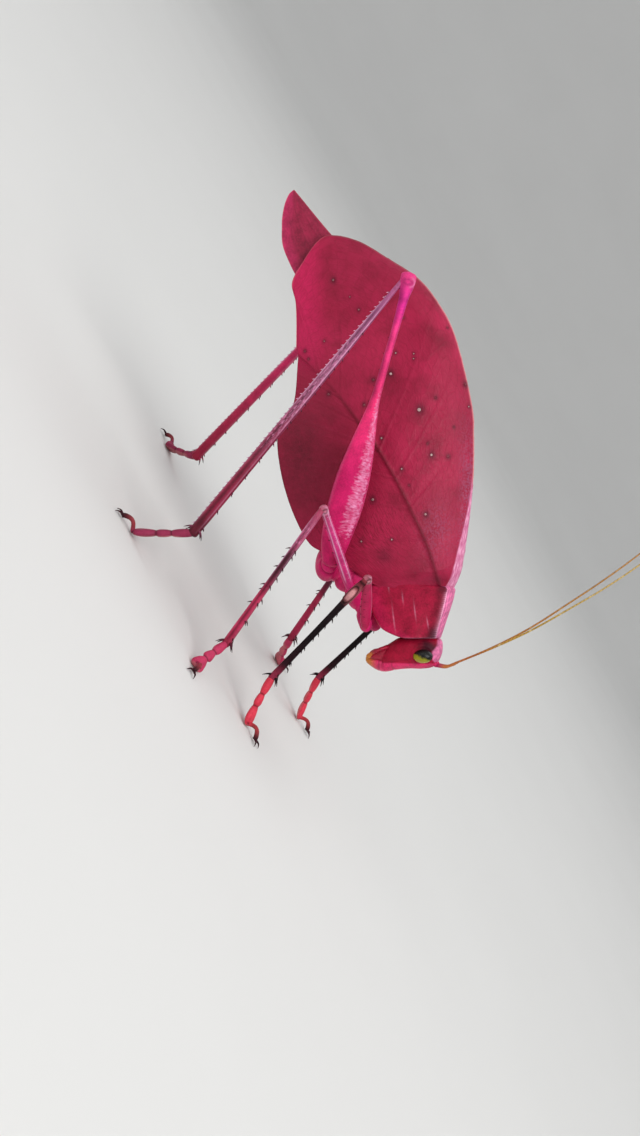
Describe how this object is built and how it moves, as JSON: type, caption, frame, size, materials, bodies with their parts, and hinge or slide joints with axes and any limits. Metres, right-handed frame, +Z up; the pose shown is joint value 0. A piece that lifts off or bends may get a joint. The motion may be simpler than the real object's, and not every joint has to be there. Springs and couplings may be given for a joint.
{
  "type": "katydid model",
  "caption": "Life-size still model of a crimson leaf-mimic katydid, with leaf-shaped folded wings, long spined legs and thread-like antennae.",
  "frame": {"origin": "on the floor, under the centre of the bounding box", "axes": "+X toward the head, +Y to the left side of the animal, +Z up; the body is pitched head down"},
  "size_m": [0.0504, 0.0418, 0.07],
  "materials": {
    "red_skin": "satin crimson hard skin of head and pronotum",
    "pink_skin": "satin hot pink skin of thorax sides and cerci",
    "dark_skin": "satin dark red skin of abdomen and egg blade",
    "mouth_parts": "glossy golden orange horn",
    "eye_surface": "glossy yellow green below and black above",
    "feeler": "glossy golden brown",
    "fore_wing": "leathery crimson membrane with fine net veins and small dark dots",
    "hind_wing": "leathery crimson membrane, paler magenta at the rim",
    "pink_limb": "satin hot pink with a pale wrinkled sheen",
    "lilac_shin": "satin lilac pink turning dark red toward the foot",
    "black_shin": "glossy near black",
    "foot": "satin rose red"
  },
  "bodies": {
    "root": {"abdomen": "dark_skin", "antenna_left": "feeler", "antenna_right": "feeler", "cercus_left": "pink_skin", "cercus_right": "pink_skin", "eye_left": "eye_surface", "eye_right": "eye_surface", "front_coxa_left": "pink_limb", "front_coxa_right": "pink_limb", "front_femur_left": "pink_limb", "front_femur_right": "pink_limb", "front_tarsus_left": "foot", "front_tarsus_right": "foot", "front_tibia_left": "black_shin", "front_tibia_right": "black_shin", "head": "red_skin", "hind_coxa_left": "pink_limb", "hind_coxa_right": "pink_limb", "hind_femur_left": "pink_limb", "hind_femur_right": "pink_limb", "hind_tarsus_left": "foot", "hind_tarsus_right": "foot", "hind_tibia_left": "lilac_shin", "hind_tibia_right": "lilac_shin", "hindwing_left": "hind_wing", "hindwing_right": "hind_wing", "labrum": "mouth_parts", "mandible_left": "mouth_parts", "mandible_right": "mouth_parts", "mid_coxa_left": "pink_limb", "mid_coxa_right": "pink_limb", "mid_femur_left": "pink_limb", "mid_femur_right": "pink_limb", "mid_tarsus_left": "foot", "mid_tarsus_right": "foot", "mid_tibia_left": "lilac_shin", "mid_tibia_right": "lilac_shin", "ovipositor": "dark_skin", "palp_left": "mouth_parts", "palp_right": "mouth_parts", "pronotum": "red_skin", "scape_left": "feeler", "scape_right": "feeler", "tegmen_left": "fore_wing", "tegmen_right": "fore_wing", "thorax": "pink_skin"}
  },
  "joints": []
}
